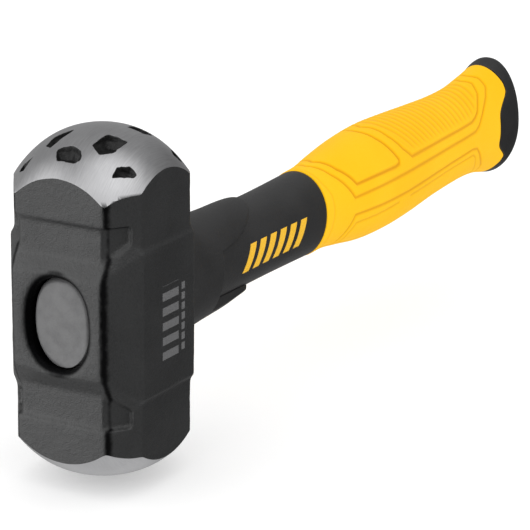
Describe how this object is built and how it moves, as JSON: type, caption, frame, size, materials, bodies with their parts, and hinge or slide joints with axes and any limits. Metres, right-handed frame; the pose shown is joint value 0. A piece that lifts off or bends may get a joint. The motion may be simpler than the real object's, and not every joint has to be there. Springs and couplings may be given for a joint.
{
  "type": "sledgehammer",
  "caption": "Short-handled sledgehammer with an octagonal forged head, one pocketed and one plain domed striking face, black neck, yellow soft grip and flared butt.",
  "frame": {"origin": "centre of the bounding box's base: midway along the tool, on its plane of symmetry, level with the crown of the plain striking face", "axes": "+Z along the strike axis towards the pocketed face, +X along the handle from the head to the butt, +Y to complete a right-handed frame"},
  "size_m": [0.2894, 0.0462, 0.1057],
  "materials": {
    "painted_head": "black forged skin, striking faces ground bright",
    "grey_resin": "cast epoxy, slightly glossy",
    "fibreglass": "pultruded glass rod",
    "black_moulding": "finely textured moulding",
    "black_rubber": "finely textured",
    "yellow_grip": "soft matt overmoulding",
    "black_cap": "matt"
  },
  "bodies": {
    "root": {"head": "painted_head", "eye_potting": "grey_resin", "handle_core": "fibreglass", "handle_jacket": "black_moulding", "overstrike_collar": "black_rubber", "grip": "yellow_grip", "butt_cap": "black_cap"}
  },
  "joints": []
}
